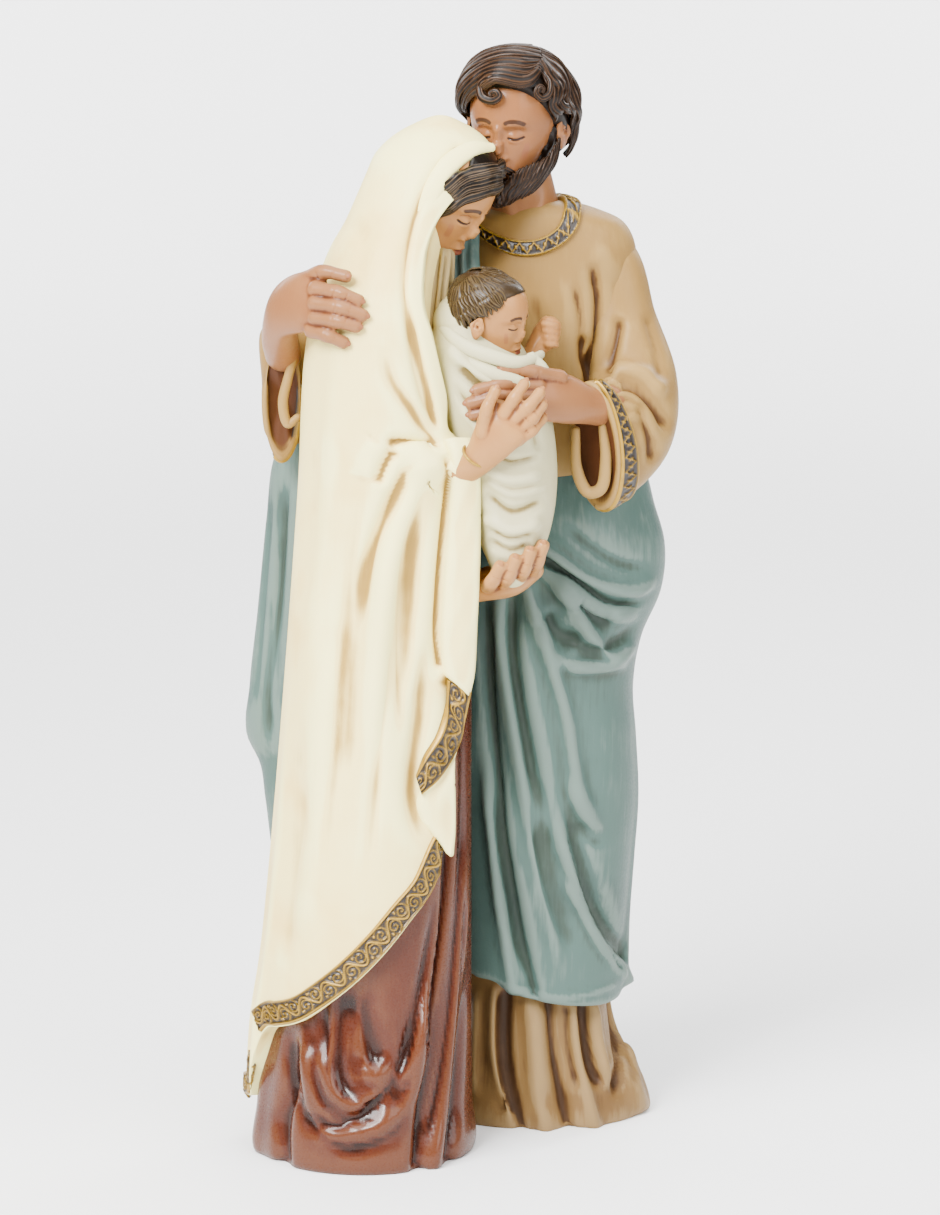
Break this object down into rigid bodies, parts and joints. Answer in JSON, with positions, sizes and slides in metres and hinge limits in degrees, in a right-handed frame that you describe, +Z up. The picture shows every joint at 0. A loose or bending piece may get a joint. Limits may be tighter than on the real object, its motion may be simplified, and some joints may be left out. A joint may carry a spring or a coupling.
{
  "type": "religious statue",
  "caption": "Standing holy family statue: a hooded mother and a bearded father in draped robes hold a swaddled infant between them, on a flat underside.",
  "frame": {"origin": "centre of the bounding box on the flat underside, where the statue stands", "axes": "+Z up, -Y towards the viewer, +X to the viewer's right, where the father stands"},
  "size_m": [0.1208, 0.0968, 0.305],
  "materials": {
    "painted_resin": "hand-painted stone resin, satin, with antiqued folds and gilt borders"
  },
  "bodies": {
    "root": {"statue": "painted_resin"}
  },
  "joints": []
}
